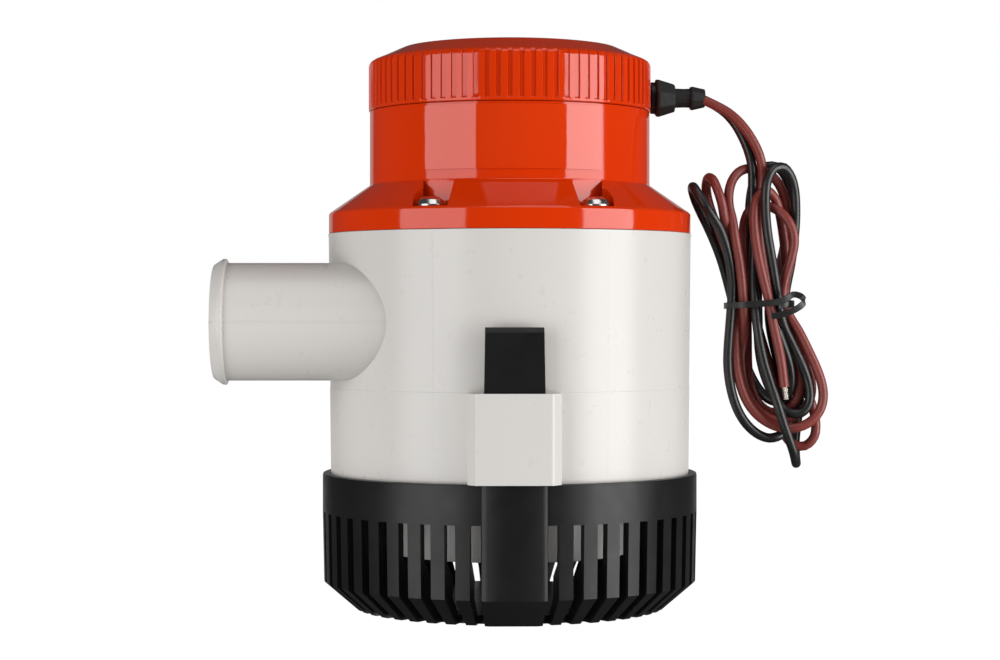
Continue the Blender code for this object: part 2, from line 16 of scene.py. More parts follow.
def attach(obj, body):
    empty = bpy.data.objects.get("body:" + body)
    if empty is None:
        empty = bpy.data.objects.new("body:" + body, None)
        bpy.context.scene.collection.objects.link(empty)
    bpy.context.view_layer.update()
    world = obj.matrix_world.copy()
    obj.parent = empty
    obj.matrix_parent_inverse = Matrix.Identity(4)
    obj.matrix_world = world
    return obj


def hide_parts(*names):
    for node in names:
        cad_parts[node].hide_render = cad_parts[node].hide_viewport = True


MM = 0.001
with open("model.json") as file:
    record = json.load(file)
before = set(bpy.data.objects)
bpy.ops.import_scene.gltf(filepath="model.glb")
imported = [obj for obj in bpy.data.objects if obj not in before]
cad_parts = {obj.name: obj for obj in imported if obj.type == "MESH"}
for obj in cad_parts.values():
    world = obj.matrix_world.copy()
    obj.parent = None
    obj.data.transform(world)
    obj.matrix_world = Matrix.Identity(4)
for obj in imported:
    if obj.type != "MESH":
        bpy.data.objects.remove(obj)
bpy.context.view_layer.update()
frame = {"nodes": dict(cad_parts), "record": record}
NODES = frame["nodes"]


# Camera and studio


def add_camera():
    """The camera of the front view: level, a little to the left of the front, with a long lens."""
    data = bpy.data.cameras.new("camera")
    data.lens, data.sensor_width = 82.8, 36.0
    data.shift_x, data.shift_y = -0.0097, -0.02
    data.clip_start, data.clip_end = 0.05, 20.0
    camera = bpy.data.objects.new("camera", data)
    bpy.context.scene.collection.objects.link(camera)
    turn, away, height = math.radians(-1.4), 0.811, 0.104
    camera.location = (away * math.sin(turn), -away * math.cos(turn), height)
    camera.rotation_euler = (math.pi / 2, 0, turn)
    bpy.context.scene.camera = camera


def soft_box(name, azimuth, distance, height, width, tall, radiance, mirrored=True, aim=0.11):
    """A rectangular lamp that aims at a height on the axis. Its azimuth is counted from the front towards +X,
    and mirrored says if glossy surfaces show it."""
    data = bpy.data.lights.new(name, "AREA")
    data.shape, data.size, data.size_y = "RECTANGLE", width, tall
    data.energy = radiance * math.pi * width * tall
    lamp = bpy.data.objects.new(name, data)
    bpy.context.scene.collection.objects.link(lamp)
    turn = math.radians(azimuth)
    lamp.location = (distance * math.sin(turn), -distance * math.cos(turn), height)
    lamp.rotation_euler = (lamp.location - Vector((0, 0, aim))).to_track_quat("Z", "Y").to_euler()
    lamp.visible_camera = False
    lamp.visible_glossy = mirrored


def add_studio():
    """A white surround that lights little, soft boxes round the pump, and a pale floor that takes the shadows."""
    scene = bpy.context.scene
    scene.view_settings.view_transform = "Standard"
    scene.view_settings.look = "None"
    world = bpy.data.worlds.new("studio")
    world.use_nodes = True
    tree = world.node_tree
    seen, dim = tree.nodes["Background"], tree.nodes.new("ShaderNodeBackground")
    seen.inputs["Color"].default_value = dim.inputs["Color"].default_value = (1, 1, 1, 1)
    seen.inputs["Strength"].default_value, dim.inputs["Strength"].default_value = 1.0, 0.06
    choice = tree.nodes.new("ShaderNodeMixShader")
    tree.links.new(tree.nodes.new("ShaderNodeLightPath").outputs["Is Camera Ray"], choice.inputs["Fac"])
    tree.links.new(dim.outputs["Background"], choice.inputs[1])
    tree.links.new(seen.outputs["Background"], choice.inputs[2])
    tree.links.new(choice.outputs["Shader"], tree.nodes["World Output"].inputs["Surface"])
    scene.world = world
    soft_box("left_box", -50.0, 1.30, 0.14, 1.05, 1.3, 3.3)
    soft_box("right_box", 62.0, 1.30, 0.14, 0.845, 1.3, 6.0)
    soft_box("left_fill", -112.0, 1.30, 0.14, 0.9, 1.2, 1.1, False)
    soft_box("right_fill", 118.0, 1.30, 0.14, 0.9, 1.2, 1.0, False)
    soft_box("back_wall", 180.0, 1.70, 0.11, 1.8, 0.9, 0.35)
    soft_box("top_box", 20.0, 0.5, 1.3, 0.9, 0.9, 1.6)
    soft_box("table_bounce", 0.0, 0.0, -0.03, 1.8, 1.8, 0.48, False)

    mesh = bpy.data.meshes.new("floor")
    work = bmesh.new()
    bmesh.ops.create_grid(work, x_segments=1, y_segments=1, size=8.0)
    work.to_mesh(mesh)
    work.free()
    floor = bpy.data.objects.new("floor", mesh)
    floor.location.z = -0.0002
    bpy.context.scene.collection.objects.link(floor)
    shader = plain_material("studio_floor", (0.1, 0.1, 0.1), 0.9)
    principled = shader.node_tree.nodes["Principled BSDF"]
    principled.inputs["Emission Color"].default_value = (1, 1, 1, 1)
    principled.inputs["Emission Strength"].default_value = 1.0
    principled.inputs["Specular IOR Level"].default_value = 0.0
    mesh.materials.append(shader)
    # the lamp under the floor stands for its bounced light, so the floor itself only shows and takes shadows
    floor.visible_diffuse = floor.visible_glossy = floor.visible_shadow = floor.visible_transmission = False


# Materials


def plain_material(name, colour, roughness, metallic=0.0):
    """A material with one colour, for the others to build on."""
    made = bpy.data.materials.new(name)
    made.use_nodes = True
    shader = made.node_tree.nodes["Principled BSDF"]
    shader.inputs["Base Color"].default_value = (*colour, 1)
    shader.inputs["Roughness"].default_value = roughness
    shader.inputs["Metallic"].default_value = metallic
    return made


class Nodes:
    """Short calls for building one material's node tree, on object coordinates in metres."""

    def __init__(self, made):
        self.tree = made.node_tree
        self.shader = self.tree.nodes["Principled BSDF"]
        self.place = self.tree.nodes.new("ShaderNodeTexCoord").outputs["Object"]

    def link(self, source, target):
        self.tree.links.new(source, target)

    def stretched(self, scale):
        node = self.tree.nodes.new("ShaderNodeMapping")
        node.inputs["Scale"].default_value = scale
        self.link(self.place, node.inputs["Vector"])
        return node.outputs["Vector"]

    def noise(self, scale, detail=2.0, rough=0.5, at=None):
        node = self.tree.nodes.new("ShaderNodeTexNoise")
        node.inputs["Scale"].default_value = scale
        node.inputs["Detail"].default_value = detail
        node.inputs["Roughness"].default_value = rough
        self.link(at or self.place, node.inputs["Vector"])
        return node.outputs["Fac"]

    def waves(self, scale, axis, distortion):
        node = self.tree.nodes.new("ShaderNodeTexWave")
        node.wave_type, node.bands_direction = "BANDS", axis
        node.inputs["Scale"].default_value = scale
        node.inputs["Distortion"].default_value = distortion
        self.link(self.place, node.inputs["Vector"])
        return node.outputs["Fac"]

    def ranged(self, value, low, high, start=0.3, end=0.7):
        node = self.tree.nodes.new("ShaderNodeMapRange")
        node.inputs["From Min"].default_value = start
        node.inputs["From Max"].default_value = end
        node.inputs["To Min"].default_value = low
        node.inputs["To Max"].default_value = high
        self.link(value, node.inputs["Value"])
        return node.outputs["Result"]

    def mixed(self, value, first, second):
        node = self.tree.nodes.new("ShaderNodeMix")
        node.data_type = "RGBA"
        node.inputs["A"].default_value = (*first, 1)
        node.inputs["B"].default_value = (*second, 1)
        self.link(value, node.inputs["Factor"])
        return node.outputs["Result"]

    def bump(self, height, depth, after=None):
        node = self.tree.nodes.new("ShaderNodeBump")
        node.inputs["Strength"].default_value = 1.0
        node.inputs["Distance"].default_value = depth
        self.link(height, node.inputs["Height"])
        if after:
            self.link(after, node.inputs["Normal"])
        return node.outputs["Normal"]


def moulded(name, colour, tint, roughness, grain, grain_depth, waviness, wave_depth, gloss=0.5):
    """Moulded plastic: two close tones, uneven gloss, a fine grain and a slow waviness from the mould."""
    made = plain_material(name, colour, roughness[0])
    n = Nodes(made)
    n.link(n.mixed(n.ranged(n.noise(22, 3), 0, 1), colour, tint), n.shader.inputs["Base Color"])
    n.link(n.ranged(n.noise(140, 4, 0.6), *roughness), n.shader.inputs["Roughness"])
    surface = n.bump(n.noise(waviness, 1), wave_depth)
    if grain:
        surface = n.bump(n.noise(grain, 2, 0.6), grain_depth, after=surface)
    n.link(surface, n.shader.inputs["Normal"])
    n.shader.inputs["Specular IOR Level"].default_value = gloss
    return made


def metal(name, colour, tint, roughness, streaks, depth):
    """Bare metal with fine streaks stretched by the given scale."""
    made = plain_material(name, colour, roughness[0], 1.0)
    n = Nodes(made)
    at = n.stretched(streaks)
    n.link(n.mixed(n.ranged(n.noise(60, 3), 0, 1), colour, tint), n.shader.inputs["Base Color"])
    n.link(n.ranged(n.noise(1, 3, 0.6, at), *roughness), n.shader.inputs["Roughness"])
    n.link(n.bump(n.noise(1, 2, 0.5, at), depth), n.shader.inputs["Normal"])
    return made


def banded(name, first, second, roughness, metallic, pitch, axis, depth):
    """Stacked sheets or wound wire: soft bands of two tones along an axis, about six times pitch millimetres wide."""
    made = plain_material(name, first, roughness, metallic)
    n = Nodes(made)
    bands = n.waves(0.05 / (pitch * MM) * math.tau / 6.283, axis, 0.3)
    n.link(n.mixed(bands, first, second), n.shader.inputs["Base Color"])
    n.link(n.bump(bands, depth), n.shader.inputs["Normal"])
    n.link(n.ranged(n.noise(300, 2), roughness * 0.8, roughness * 1.2), n.shader.inputs["Roughness"])
    return made


def wire_skin(name, colour, tint, roughness):
    """Soft PVC insulation: shiny where it has been handled, with a faint dust."""
    made = plain_material(name, colour, roughness[0])
    n = Nodes(made)
    n.link(n.mixed(n.ranged(n.noise(90, 4, 0.6), 0, 1), colour, tint), n.shader.inputs["Base Color"])
    n.link(n.ranged(n.noise(260, 3), *roughness), n.shader.inputs["Roughness"])
    n.link(n.bump(n.noise(900, 3, 0.6), 0.00003), n.shader.inputs["Normal"])
    return made


BLACK = moulded(
    "black_satin", (0.006, 0.006, 0.0062), (0.009, 0.009, 0.0092), (0.3, 0.4), 2600, 0.00002, 90, 0.00006, 0.24
)
WHITE = moulded("white_gloss", (0.570, 0.551, 0.526), (0.564, 0.545, 0.520), (0.27, 0.3), 0, 0, 30, 0.00002, 0.4)
ORANGE = moulded(
    "orange_gloss", (0.58, 0.030, 0.0004), (0.565, 0.0285, 0.0004), (0.06, 0.1), 1200, 0.000001, 60, 0.00003, 0.42
)
RUBBER = moulded(
    "black_rubber", (0.008, 0.008, 0.008), (0.014, 0.013, 0.013), (0.5, 0.68), 1500, 0.00006, 160, 0.0002, 0.3
)
FILM = moulded(
    "clear_film", (0.58, 0.034, 0.0015), (0.57, 0.032, 0.0015), (0.03, 0.06), 1600, 0.000002, 90, 0.00003, 0.5
)
RED_WIRE = wire_skin("red_pvc", (0.17, 0.026, 0.020), (0.21, 0.036, 0.028), (0.34, 0.46))
BLACK_WIRE = wire_skin("black_pvc", (0.009, 0.009, 0.009), (0.016, 0.015, 0.015), (0.28, 0.42))
STAINLESS = metal("stainless", (0.62, 0.61, 0.60), (0.55, 0.54, 0.53), (0.16, 0.3), (900, 900, 200), 0.000006)
PLATED = metal("plated_steel", (0.52, 0.52, 0.50), (0.45, 0.46, 0.45), (0.28, 0.42), (300, 300, 2500), 0.00001)
TINNED = metal("tinned_copper", (0.72, 0.69, 0.64), (0.66, 0.60, 0.52), (0.25, 0.4), (4000, 4000, 300), 0.00005)
BRASS = metal("brass", (0.66, 0.46, 0.16), (0.58, 0.38, 0.12), (0.25, 0.4), (1200, 300, 1200), 0.00001)
BRONZE = metal("sintered_bronze", (0.45, 0.26, 0.12), (0.36, 0.2, 0.09), (0.45, 0.65), (1800, 1800, 1800), 0.00005)
COPPER_BAR = banded("commutator_copper", (0.72, 0.3, 0.14), (0.62, 0.24, 0.1), 0.3, 1.0, 0.4, "Z", 0.00002)
WINDING = banded("enamelled_copper", (0.62, 0.2, 0.07), (0.3, 0.08, 0.03), 0.3, 0.6, 0.9, "Z", 0.0002)
LAMINATION = banded("stacked_steel", (0.3, 0.3, 0.32), (0.2, 0.2, 0.22), 0.45, 1.0, 0.7, "Z", 0.00006)
FERRITE = moulded("ferrite", (0.05, 0.05, 0.055), (0.035, 0.035, 0.04), (0.5, 0.7), 1800, 0.00008, 200, 0.00005)
CARBON = moulded("carbon", (0.03, 0.03, 0.032), (0.02, 0.02, 0.02), (0.6, 0.8), 2500, 0.00006, 300, 0.00003)

SLOT_FINISH = {
    "black_plastic": BLACK,
    "white_plastic": WHITE,
    "orange_plastic": ORANGE,
    "rubber": RUBBER,
    "stainless": STAINLESS,
    "plated_steel": PLATED,
    "lamination": LAMINATION,
    "ferrite": FERRITE,
    "copper": WINDING,
    "brass": BRASS,
    "bronze": BRONZE,
    "carbon": CARBON,
    "tinned": TINNED,
    "red_pvc": RED_WIRE,
    "black_pvc": BLACK_WIRE,
    "clear_film": FILM,
}


# Mesh building

SHARP = 32.0  # edges above this angle stay sharp
MERGED = 0.002  # points closer than this become one


def as_object(name, work):
    """Turns a bmesh in millimetres into an object in metres, with its faces turned outwards."""
    bmesh.ops.recalc_face_normals(work, faces=work.faces)
    work.transform(Matrix.Scale(MM, 4))
    mesh = bpy.data.meshes.new(name)
    work.to_mesh(mesh)
    work.free()
    made = bpy.data.objects.new(name, mesh)
    bpy.context.scene.collection.objects.link(made)
    return made


def finish_mesh(name, work, finish, body, nodes, sharp=SHARP, bevel=0.0, segments=2):
    """Turns a bmesh in millimetres into a shaded piece. With a body, it rides on it and stands for CAD nodes."""
    bmesh.ops.remove_doubles(work, verts=work.verts, dist=MERGED)
    bmesh.ops.dissolve_degenerate(work, edges=work.edges, dist=MERGED)
    made = as_object(name, work)
    made.data.materials.append(finish)
    if bevel:
        soften(made, bevel, sharp, segments)
    shade(made.data, sharp)
    if body:
        settle(made, body, nodes)
    return made


def soften(made, width, sharp, segments=2):
    """Rounds a piece's sharp edges."""
    step = made.modifiers.new("edges", "BEVEL")
    step.width, step.segments, step.limit_method = width * MM, segments, "ANGLE"
    step.angle_limit = math.radians(sharp)
    step.miter_outer = "MITER_ARC"
    step.harden_normals = True


def shade(mesh, sharp=SHARP):
    """Smooth faces, with edges kept above the sharp angle."""
    for face in mesh.polygons:
        face.use_smooth = True
    mesh.set_sharp_from_angle(angle=math.radians(sharp))


def settle(made, body, nodes):
    """Hangs a piece on its body's empty and hides the CAD nodes that it stands for."""
    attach(made, body)
    if nodes:
        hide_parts(*nodes)


def rounded(corners, steps=3):
    """A closed outline of (u, v, radius) corners, with each corner drawn as a small curve."""
    found = []
    for n, corner in enumerate(corners):
        radius = corner[2] if len(corner) > 2 else 0.0
        here = Vector(corner[:2])
        if not radius:
            found.append(tuple(here))
            continue
        before = Vector(corners[n - 1][:2]) - here
        after = Vector(corners[(n + 1) % len(corners)][:2]) - here
        reach = min(radius / max(math.tan(before.angle(after) / 2), 0.05), before.length / 2.05, after.length / 2.05)
        start, end = here + before.normalized() * reach, here + after.normalized() * reach
        for step in range(steps + 1):
            t = step / steps
            found.append(tuple(start * (1 - t) ** 2 + here * 2 * t * (1 - t) + end * t**2))
    return found


def ring_points(profile, angle):
    """A section of (radius, height) points, stood up at an angle counted from +X."""
    turn = math.radians(angle)
    return [(r * math.cos(turn), r * math.sin(turn), z) for r, z in profile]


def lofted(columns, skip=()):
    """A bmesh from columns of points in a ring: each column is one closed outline, joined to the next.
    skip holds (column, row) cells that stay open."""
    work = bmesh.new()
    rows = len(columns[0])
    grid = [[work.verts.new(point) for point in column] for column in columns]
    for c in range(len(columns)):
        here, there = grid[c], grid[(c + 1) % len(columns)]
        for r in range(rows):
            if (c, r) in skip:
                continue
            work.faces.new((here[r], here[(r + 1) % rows], there[(r + 1) % rows], there[r]))
    return work, grid


def turned(profile, segments):
    """A solid of revolution about Z."""
    return lofted([ring_points(profile, 360.0 * n / segments) for n in range(segments)])[0]


def prism(outline, low, high):
    """A solid that stands on an outline seen from above."""
    work = bmesh.new()
    ends = [[work.verts.new((x, y, z)) for x, y in outline] for z in (low, high)]
    work.faces.new(ends[0][::-1])
    work.faces.new(ends[1])
    for n in range(len(outline)):
        m = (n + 1) % len(outline)
        work.faces.new((ends[0][n], ends[0][m], ends[1][m], ends[1][n]))
    return work


def helper(name, work, at=None):
    """A cutting or joining solid, removed once it has been used."""
    bmesh.ops.remove_doubles(work, verts=work.verts, dist=MERGED)
    made = as_object(name, work)
    if at is not None:
        made.matrix_world = at
    return made


def carved(target, others):
    """Applies (operation, helper) booleans to a piece, in order, and removes the helpers."""
    for operation, other in others:
        step = target.modifiers.new(other.name, "BOOLEAN")
        step.operation, step.object, step.solver = operation, other, "MANIFOLD"
    bpy.context.view_layer.update()
    graph = bpy.context.evaluated_depsgraph_get()
    mesh = bpy.data.meshes.new_from_object(target.evaluated_get(graph), depsgraph=graph)
    target.modifiers.clear()
    finish = target.data.materials[0] if target.data.materials else None
    old = target.data
    target.data = mesh
    bpy.data.meshes.remove(old)
    if finish:
        mesh.materials.clear()
        mesh.materials.append(finish)
    for _, other in others:
        bpy.data.objects.remove(other, do_unlink=True)
    shade(mesh)


def along_x(y, z):
    """The place of a part that was turned about Z and lies along X instead, its low end towards -X."""
    return Matrix.Translation((0, y * MM, z * MM)) @ Matrix.Rotation(math.pi / 2, 4, "Y")


# Leads

WIRE_R = 1.7
STRAND_GAP = 0.1  # left between two strands that cross

# Each lead from the end sleeve through the hank to its bare end: x across, y in depth (front is minus) and z up.
# Every turn of the hank goes through the tie, at about z 106.
RED_ROUTE = (
    # down from the gland to the waist
    (68.5, -1.6, 178), (74, -1.8, 175.5), (78.5, -2.2, 173), (83, -2.6, 168), (86.5, -3, 162.5),
    (89, -3.4, 156.5), (89.5, -3, 151.5), (88.5, -1.5, 145), (88, 0, 137), (89, 1, 125.5), (91, 1, 114.5),
    (92.5, 1, 106),
    # inner lower loop
    (95, 1, 98.5), (99, 0.5, 93.5), (102, 0, 87.5), (103.5, 0, 80), (102.5, 1, 73), (98.5, 2, 67.5),
    (93, 3, 66.5), (88, 3.5, 70), (85.5, 4, 76.5), (84.5, 4, 83), (84.5, 4, 90.5), (84.5, 4, 98.5),
    (84, 4, 106),
    # narrow loop, upper left
    (81.5, 5, 113.5), (78.5, 6, 122), (75, 7, 130.5), (72.5, 8, 137.5), (70.8, 9.5, 142.5), (69.6, 7, 148.6),
    (70.3, 0.5, 151.8), (71.9, -6.5, 149.4), (73.8, -9, 143), (76, -6, 136.5), (78, -3, 128.5), (80, -2, 120),
    (81, -1, 112.5), (81, 0, 106),
    # outer lower loop
    (80.5, -2, 98.5), (79.5, -3, 92), (79.5, -3, 85), (81, -3, 77.5), (84, -3, 70), (89, -3, 65), (95, -3, 62),
    (101.5, -3, 62), (107, -3, 64.5), (110.5, -3, 69.5), (111, -3, 75), (109, -2.5, 82), (105.5, -2, 89.5),
    (101.5, -1, 98), (98, 0, 102.5), (96.5, 1, 106),
    # right upper loop
    (96, 0, 111), (97.5, -1.5, 116.5), (99.5, -3, 123), (101, -4, 128.5), (99.5, -4, 134), (96, -4, 139),
    (91.5, -2, 141.5), (86.5, 1, 141.5), (83.5, 4, 138.5), (83, 5, 132), (84, 5.5, 122), (85.5, 6, 112.5),
    (86.5, 6, 106),
    # small lower loop
    (88.5, 6, 98), (91.5, 6.5, 88.5), (94.5, 7, 79.5), (96.5, 7.5, 70), (96.8, 8, 62), (99.5, 8, 56),
    (105, 6.5, 54), (109.3, 4.5, 58.5), (109, 3.5, 66), (106, 4.5, 75), (101.5, 6, 84), (99, 6.5, 93),
    (96.5, 6, 101), (95, 6, 106),
    # large upper loop
    (96, 6, 113.5), (98, 6, 124), (99, 5.5, 135), (98, 4, 144), (95.5, 3.5, 150.5), (90.5, 3.5, 153.5),
    (86, 2, 155), (81.5, -1, 154), (78, -3, 150.5), (76.5, -4, 143.5), (77.5, -4, 134), (80, -5, 124),
    (81.5, -6, 113.5), (82, -6, 106),
    # middle lower loop
    (82.5, -3, 98.5), (81.5, 1, 91.5), (82, 2, 83), (83.5, 2, 75.5), (87, 0, 69), (93, 0, 65), (99, 0, 65),
    (104, 0, 67.5), (107.5, 0, 73), (107, 1, 79.5), (105, 2, 86.5), (101.5, 3, 94), (99, 3.5, 100.5),
    (97.5, 4, 106),
    # over the top and down to the cut end
    (97.5, 3, 113.5), (98, 2, 122), (97, 2, 131), (95.5, 1, 139.5), (93, 0, 145.5), (89.5, -2, 148),
    (86.5, -4, 144), (85.5, -5.5, 137), (86, -6.5, 128.5), (87.5, -7.5, 120), (89.5, -8, 111.5), (91, -8, 106),
    (92, -8, 99.5), (93.5, -8, 93), (95, -8, 86.5), (95.5, -8, 81), (96, -8, 77),
)
BLACK_ROUTE = (
    # down from the gland, behind the red lead
    (68.5, 1.6, 178.5), (74, 1.7, 176), (78.5, 1.8, 172.5), (81.5, 1.8, 167.5), (84, 1.6, 162.5),
    (85.5, 1, 156.5), (86, 0, 150.5), (86.5, -0.5, 143.5), (86.5, -1, 133), (86, -2.5, 124),
    (85.5, -4.5, 113.5), (86, -6, 106),
    # front strand, down to its fold and back
    (86.5, -7, 98.5), (87.5, -7.5, 92), (89, -7.5, 85), (91.5, -7.5, 77.5), (94, -7.5, 70), (96.5, -7.5, 62),
    (99.5, -7.5, 55), (101, -4.5, 50), (101.5, 0.5, 48.5), (102, 5.5, 51), (102, 8.5, 57.5),
    (103.5, 7.5, 69), (104, 7.5, 77.5), (102, 7.5, 87.5), (99.5, 7.5, 97), (98, 7.5, 106),
    # right top loop
    (98.5, 6, 113.5), (100, 4, 122), (101.2, 2, 131), (101.5, 2, 140.5), (100.5, 0.5, 149.5), (96.5, -3, 155.8),
    (91.5, -6.5, 153.8), (89.3, -7, 147.5), (89.5, -6, 140.5), (90, -6.5, 132), (91.5, -6.5, 124), (93, -6, 115.5),
    (94, -5, 110), (94.5, -4, 106),
    # inner lower loop
    (96, -3, 98.5), (99.5, -3, 91.5), (103.5, -1, 84), (106, -1, 77), (106.5, -1, 71.5), (104.5, -1, 67),
    (100, -2, 66), (95, -3, 69.5), (92, -2, 75.5), (89.5, -1, 82), (88, 0, 90.5), (88, 1, 98.5), (88, 2, 106),
    # back top loop
    (88, 4, 113.5), (86.5, 6, 124), (85.5, 6.5, 135), (86, 6.5, 146), (88, 5, 153.5), (91.5, 3, 156.5),
    (95.5, 3, 156), (99, 4, 151.5), (100.5, 6, 144), (99.5, 7.5, 133), (97.5, 7.5, 122), (94.5, 7.5, 112.5),
    (92.5, 7.5, 106),
    # outer lower loop
    (93, 7.5, 98), (95, 7, 88.5), (97, 6, 79.5), (99.5, 4, 71), (99.5, 2, 63.5), (96, 0, 58.5), (90.5, -1, 58),
    (84.5, -2, 62), (80, -3, 68.5), (77.5, -3.5, 77), (76.5, -3.5, 85), (77, -3.5, 92), (77.5, -3.5, 99.5),
    (78, -3.5, 106),
    # narrow loop, far left
    (78.5, -3.5, 112.5), (78, -4, 119), (76, -5, 126.5), (73.5, -6, 133.5), (70, -9, 137.5), (66.8, -9.5, 143),
    (64.8, -5.5, 147), (64.4, 0.5, 148.4), (65, 6.5, 146), (67.6, 9.5, 140), (72, 7, 132), (75.5, 7, 123),
    (78, 7, 113.5), (80, 7, 106),
    # last lower loop and the cut end
    (81, 7, 98.5), (82.5, 7.5, 91.5), (84.5, 7.5, 84), (88, 6.5, 76.5), (92.5, 5, 71), (96.5, 3, 70),
    (99.5, 1, 73.5), (100, -0.5, 79.5), (99, -1.5, 85), (97, -3, 90.5), (95, -4.5, 95), (94, -5, 97),
)


def smooth(points, step):
    """Points step apart on a Catmull-Rom curve."""
    ends = [Vector(p) for p in points]
    padded = [2 * ends[0] - ends[1], *ends, 2 * ends[-1] - ends[-2]]
    found = []
    for a, b, c, d in zip(padded, padded[1:], padded[2:], padded[3:]):
        count = max(1, round((c - b).length / step))
        for n in range(count):
            t = n / count
            bend = (2 * a - 5 * b + 4 * c - d) * t**2 + (3 * b - a - 3 * c + d) * t**3
            found.append(0.5 * (2 * b + (c - a) * t + bend))
    return [tuple(p) for p in found + [ends[-1]]]


def even(line, step):
    """The same line with points step apart."""
    run = np.concatenate([[0], np.cumsum(np.linalg.norm(np.diff(line, axis=0), axis=1))])
    marks = np.linspace(0, run[-1], max(2, round(run[-1] / step)) + 1)
    return np.stack([np.interp(marks, run, line[:, k]) for k in range(3)], axis=1)


def eased_apart(routes, gap, rounds=180):
    """Moves strands that lie in each other until they only touch, mostly in depth, and keeps each one smooth."""
    lines = [even(np.array(route), 2.4) for route in routes]
    home = np.concatenate(lines).astype(np.float32)
    owner = np.concatenate([np.full(len(line), n) for n, line in enumerate(lines)])
    order = np.concatenate([np.arange(len(line)) for line in lines])
    last = np.concatenate([np.full(len(line), len(line) - 1) for line in lines])
    fixed = order < 2
    inner = (order > 0) & (order < last)
    near = (owner[:, None] == owner[None, :]) & (abs(order[:, None] - order[None, :]) < 6)
    at = home.copy()
    for turn in range(rounds):
        away = at[:, None, :] - at[None, :, :]
        distance = np.linalg.norm(away, axis=2) + 1e-6
        deficit = np.where(near, 0, np.clip(gap - distance, 0, None))
        push = (away * (deficit / distance)[:, :, None] * np.float32([0.22, 0.45, 0.22])).sum(axis=1)
        step = np.clip(push, -0.6, 0.6) + (home - at) * np.float32([0.08, 0.015, 0.08])
        step[fixed] = 0
        at = at + step
        at[:, 1] = np.clip(at[:, 1], -9.3, 9.3)
        for _ in range(2):
            middle = (np.roll(at, 1, 0) + np.roll(at, -1, 0)) / 2
            free = inner & ~fixed
            at[free] += (middle - at)[free] * 0.12
    return [at[owner == n].astype(float) for n in range(len(lines))]


def wire(name, points, finish, nodes):
    """A round lead along a line of points."""
    curve = bpy.data.curves.new(name, "CURVE")
    curve.dimensions = "3D"
    curve.bevel_depth = WIRE_R * MM
    curve.bevel_resolution = 5
    curve.use_fill_caps = True
    spline = curve.splines.new("POLY")
    spline.points.add(len(points) - 1)
    for point, place in zip(spline.points, points):
        point.co = (*[float(c) * MM for c in place], 1)
    spline.use_smooth = True
    curve.materials.append(finish)
    made = bpy.data.objects.new(name, curve)
    bpy.context.scene.collection.objects.link(made)
    settle(made, "pump", nodes)
    return made


def add_leads():
    """Both leads at their real length, each with a bare end of tinned strands."""
    red, black = eased_apart([smooth(RED_ROUTE, 2.0), smooth(BLACK_ROUTE, 2.0)], 2 * WIRE_R + STRAND_GAP)
    red, black = (even(np.array(smooth(even(line, 4.8), 1.0)), 1.6) for line in (red, black))
    made_red = wire("lead_red_wire", red, RED_WIRE, ("lead_red",))
    made_black = wire("lead_black_wire", black, BLACK_WIRE, ("lead_black", "lead_hank"))
    ends = [bare_end("red", red), bare_end("black", black)]


# The tie from its tail round the hank, with the loop where its ends are turned over each other
TIE_ROUTE = (
    (91.0, -11.2, 101.8), (94.5, -11.5, 102.4), (99.0, -11.4, 104.0), (102.3, -10.6, 106.4), (101.8, -10.0, 108.6),
    (98.8, -10.0, 109.4), (95.8, -10.8, 107.6), (92.0, -11.3, 106.6), (87.0, -11.4, 106.2), (81.0, -10.4, 105.8),
    (77.6, -7.6, 105.6), (76.3, -3.0, 105.5), (76.4, 3.0, 105.5), (78.2, 8.0, 105.6), (83.0, 10.8, 105.9),
    (91.0, 11.0, 106.2), (97.5, 9.0, 106.4), (99.8, 3.5, 106.4), (99.8, -4.0, 106.2), (97.6, -9.2, 105.8),
    (93.6, -10.6, 105.4),
)


TIE_HALF_THICK, TIE_HALF_HIGH = 0.35, 1.1


def add_tie():
    """A flat plastic strip that follows its route on edge."""
    line = [Vector(p) for p in smooth(TIE_ROUTE, 0.8)]
    work = bmesh.new()
    rings = []
    for n, here in enumerate(line):
        way = (line[min(n + 1, len(line) - 1)] - line[max(n - 1, 0)]).normalized()
        out = way.cross(Vector((0, 0, 1))).normalized()
        high = out.cross(way).normalized()
        rings.append([
            work.verts.new(here + out * a * TIE_HALF_THICK + high * b * TIE_HALF_HIGH)
            for a, b in ((1, 1), (1, -1), (-1, -1), (-1, 1))
        ])
    for here, there in zip(rings, rings[1:]):
        for a in range(4):
            work.faces.new((here[a], here[(a + 1) % 4], there[(a + 1) % 4], there[a]))
    work.faces.new(rings[0][::-1])
    work.faces.new(rings[-1])
    finish_mesh("hank_tie_strip", work, BLACK_WIRE, "pump", ("hank_tie",), 40, bevel=0.12)


def bare_end(colour, line):
    """A short twist of tinned strands out of the cut end of the insulation: six round a middle one."""
    tip = Vector(line[-1])
    way = (tip - Vector(line[-4])).normalized()
    side = way.orthogonal().normalized()
    other = way.cross(side)
    work = bmesh.new()
    for strand in range(7):
        centre = 0.0 if strand == 6 else 0.72
        points = []
        for n in range(9):
            turn = strand * math.tau / 6 + n * 0.35
            out = centre * (1 - 0.03 * n)
            points.append(tip + way * (n * 0.62 - 0.6) + (side * math.cos(turn) + other * math.sin(turn)) * out)
        rings = [
            [p + (side * math.cos(a * math.tau / 6) + other * math.sin(a * math.tau / 6)) * 0.37 for a in range(6)]
            for p in points
        ]
        verts = [[work.verts.new(v) for v in ring] for ring in rings]
        for here, there in zip(verts, verts[1:]):
            for a in range(6):
                work.faces.new((here[a], here[(a + 1) % 6], there[(a + 1) % 6], there[a]))
        work.faces.new(verts[0][::-1])
        work.faces.new(verts[-1])
    return finish_mesh(f"bare_end_{colour}", work, TINNED, "pump", (f"wire_end_{colour}",), 60)


# Orange housing and cap

